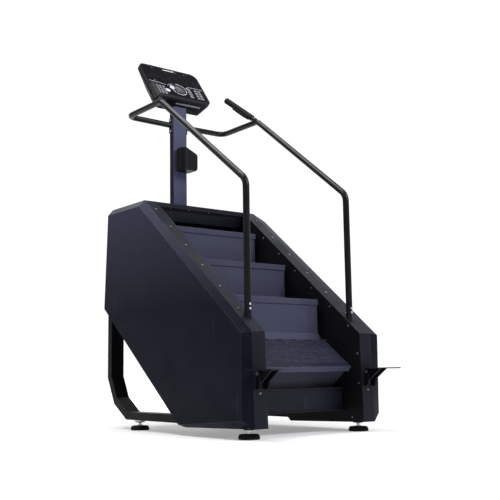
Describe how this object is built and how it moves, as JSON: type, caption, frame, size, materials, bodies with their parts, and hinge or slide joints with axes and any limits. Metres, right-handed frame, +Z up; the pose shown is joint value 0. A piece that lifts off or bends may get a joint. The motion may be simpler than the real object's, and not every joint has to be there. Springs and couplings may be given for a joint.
{
  "type": "stair climber",
  "caption": "Stepping machine with an endless stairway between two sheet-metal housings, handrails, a post-mounted console and fold-up side steps.",
  "frame": {"origin": "middle of the bounding box's footprint, on the floor", "axes": "+Z up, +Y the way the user faces, +X to the user's right"},
  "size_m": [0.94, 1.45, 2.1135],
  "materials": {
    "cover_paint": "satin powder coat",
    "trim_paint": "satin powder coat",
    "wall_paint": "satin powder coat",
    "frame_paint": "semi-gloss powder coat",
    "rail_paint": "semi-gloss powder coat",
    "post_paint": "satin powder coat",
    "step_plate": "satin powder coat",
    "console_plastic": "fine texture",
    "console_gloss": "gloss",
    "holder_plastic": "fine texture",
    "rubber": "matte",
    "soft_grip": "matte",
    "key_plastic": "satin",
    "zinc": "zinc plated",
    "black_steel": "black oxide",
    "steel": "machined",
    "aluminium": "cast",
    "guide_plastic": "smooth"
  },
  "bodies": {
    "frame": {"side_cover_left": "cover_paint", "side_cover_right": "cover_paint", "side_trim_left": "trim_paint", "side_trim_right": "trim_paint", "inner_wall_left": "wall_paint", "inner_wall_right": "wall_paint", "side_frame_left": "frame_paint", "side_frame_right": "frame_paint", "handrail_left": "rail_paint", "handrail_right": "rail_paint", "grip_left": "soft_grip", "grip_right": "soft_grip", "top_cover": "trim_paint", "top_panel": "trim_paint", "rear_cover": "trim_paint", "kick_panel": "trim_paint", "cross_members": "frame_paint", "foot_pads": "rubber", "foot_studs": "zinc", "post": "post_paint", "console_frame": "console_plastic", "console_panel": "console_gloss", "console_back": "console_plastic", "console_bracket": "frame_paint", "bottle_holder": "holder_plastic", "platform_brackets": "frame_paint", "platform_pins": "black_steel", "panel_screws": "black_steel", "rail_bolts": "zinc", "shaft_bearings": "steel", "step_chains": "black_steel", "chain_guides": "guide_plastic", "drive_motor": "aluminium", "drive_belt": "rubber", "controller_box": "console_plastic", "power_inlet": "console_plastic"},
    "upper_drive": {"upper_shaft": "steel", "upper_sprockets": "black_steel", "drive_pulley": "aluminium"},
    "lower_drive": {"lower_shaft": "steel", "lower_sprockets": "black_steel"},
    "motor_rotor": {"motor_pulley": "aluminium"},
    "step_1": {"tread_1": "step_plate", "riser_1": "step_plate"},
    "step_2": {"tread_2": "step_plate", "riser_2": "step_plate"},
    "step_3": {"tread_3": "step_plate", "riser_3": "step_plate"},
    "step_4": {"tread_4": "step_plate", "riser_4": "step_plate"},
    "step_5": {"tread_5": "step_plate"},
    "step_5_riser": {"riser_5": "step_plate"},
    "return_steps": {"tread_return": "step_plate", "riser_return": "step_plate"},
    "step_8": {"tread_8": "step_plate"},
    "step_8_riser": {"riser_8": "step_plate"},
    "rocker_left": {"grip_rocker_left": "key_plastic"},
    "rocker_right": {"grip_rocker_right": "key_plastic"},
    "side_step_left": {"folding_step_left": "frame_paint"},
    "side_step_right": {"folding_step_right": "frame_paint"}
  },
  "joints": [
    {"name": "step_drive", "type": "hinge", "parent": "frame", "child": "upper_drive", "pos_m": [0, 0.42376, 0.83078], "axis": [1, 0, 0], "range_deg": [-8, 8]},
    {"name": "lower_shaft_turn", "type": "hinge", "parent": "frame", "child": "lower_drive", "pos_m": [0, -0.215, 0.315], "axis": [1, 0, 0], "range_deg": [-9, 9]},
    {"name": "motor_turn", "type": "hinge", "parent": "frame", "child": "motor_rotor", "pos_m": [0, 0.05, 0.52], "axis": [1, 0, 0], "range_deg": [-26, 26]},
    {"name": "step_1_travel", "type": "slide", "parent": "frame", "child": "step_1", "axis": [0, -0.778, -0.6282], "range_m": [-0.0223, 0.0223]},
    {"name": "step_2_travel", "type": "slide", "parent": "frame", "child": "step_2", "axis": [0, -0.778, -0.6282], "range_m": [-0.0223, 0.0223]},
    {"name": "step_3_travel", "type": "slide", "parent": "frame", "child": "step_3", "axis": [0, -0.778, -0.6282], "range_m": [-0.0223, 0.0223]},
    {"name": "step_4_tip", "type": "hinge", "parent": "step_3", "child": "step_4", "pos_m": [0, -0.3188, 0.4196], "axis": [1, 0, 0], "range_deg": [-9.06, 9.06]},
    {"name": "step_5_turn", "type": "hinge", "parent": "frame", "child": "step_5", "pos_m": [0, -0.19145, 0.35375], "axis": [1, 0, 0], "range_deg": [-7.04, 7.04]},
    {"name": "step_5_riser_tip", "type": "hinge", "parent": "step_5", "child": "step_5_riser", "pos_m": [0, -0.12003, 0.12983], "axis": [1, 0, 0], "range_deg": [-4.53, 4.53]},
    {"name": "return_travel", "type": "slide", "parent": "frame", "child": "return_steps", "axis": [0, 0.778, 0.6282], "range_m": [-0.0223, 0.0223]},
    {"name": "step_8_turn", "type": "hinge", "parent": "frame", "child": "step_8", "pos_m": [0, 0.32064, 0.9651], "axis": [1, 0, 0], "range_deg": [-4.67, 4.67]},
    {"name": "step_8_riser_tip", "type": "hinge", "parent": "step_1", "child": "step_8_riser", "pos_m": [0, 0.4353, 1.0286], "axis": [1, 0, 0], "range_deg": [-10.85, 10.85]},
    {"name": "rocker_left_press", "type": "hinge", "parent": "frame", "child": "rocker_left", "pos_m": [-0.28982, 0.35314, 1.79386], "axis": [0.9412, -0.3379, 0], "range_deg": [-1.5, 1.5], "stiffness_Nm_per_rad": 7},
    {"name": "rocker_right_press", "type": "hinge", "parent": "frame", "child": "rocker_right", "pos_m": [0.28982, 0.35314, 1.79386], "axis": [0.9412, 0.3379, 0], "range_deg": [-1.5, 1.5], "stiffness_Nm_per_rad": 7},
    {"name": "side_step_left_fold", "type": "hinge", "parent": "frame", "child": "side_step_left", "pos_m": [-0.331, -0.59, 0.285], "axis": [1, 0, 0], "range_deg": [-80, 0]},
    {"name": "side_step_right_fold", "type": "hinge", "parent": "frame", "child": "side_step_right", "pos_m": [0.331, -0.59, 0.285], "axis": [1, 0, 0], "range_deg": [-80, 0]}
  ],
  "couplings": [
    {"joint": "lower_shaft_turn", "follows": "step_drive", "ratio": 1},
    {"joint": "motor_turn", "follows": "step_drive", "ratio": 3.125},
    {"joint": "step_1_travel", "follows": "step_drive", "m_per_rad": 0.156},
    {"joint": "step_2_travel", "follows": "step_drive", "m_per_rad": 0.156},
    {"joint": "step_3_travel", "follows": "step_drive", "m_per_rad": 0.156},
    {"joint": "step_4_tip", "follows": "step_drive", "ratio": 1.07},
    {"joint": "step_5_turn", "follows": "step_drive", "ratio": 0.8179},
    {"joint": "step_5_riser_tip", "follows": "step_drive", "ratio": -0.5035},
    {"joint": "return_travel", "follows": "step_drive", "m_per_rad": 0.156},
    {"joint": "step_8_turn", "follows": "step_drive", "ratio": 0.5213},
    {"joint": "step_8_riser_tip", "follows": "step_drive", "ratio": 1.2936}
  ]
}
